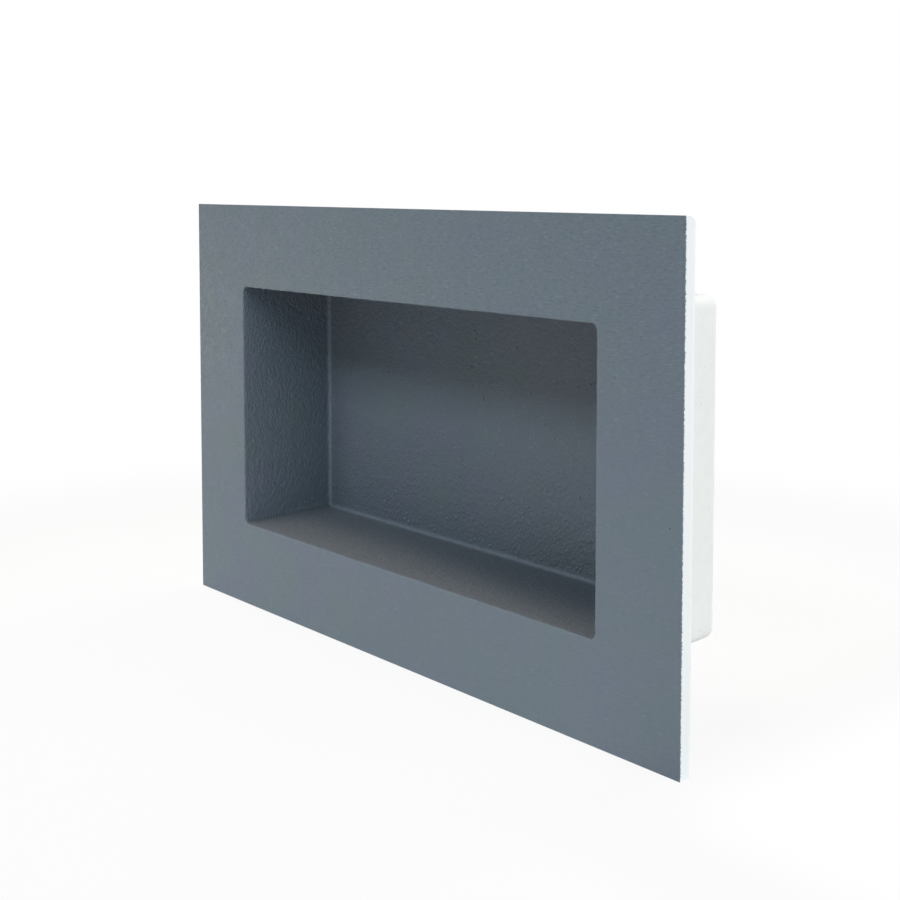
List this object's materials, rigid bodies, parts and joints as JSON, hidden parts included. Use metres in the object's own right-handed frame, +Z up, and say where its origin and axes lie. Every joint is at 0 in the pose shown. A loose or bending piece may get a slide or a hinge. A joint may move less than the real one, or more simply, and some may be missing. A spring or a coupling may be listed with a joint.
{
  "type": "shower niche insert",
  "caption": "Ready-to-tile recessed shower shelf: a white rigid-foam box moulded to a wide flat flange, with a grey waterproof coat over the face and inside the recess.",
  "frame": {"origin": "middle of the opening, on the wall plane that the back face of the flange lies against", "axes": "+X along the width, +Y into the wall, +Z up"},
  "size_m": [0.406, 0.078, 0.254],
  "materials": {
    "white_foam": "matte",
    "grey_coat": "matte"
  },
  "bodies": {
    "root": {"foam_body": "white_foam", "coating": "grey_coat"}
  },
  "joints": []
}
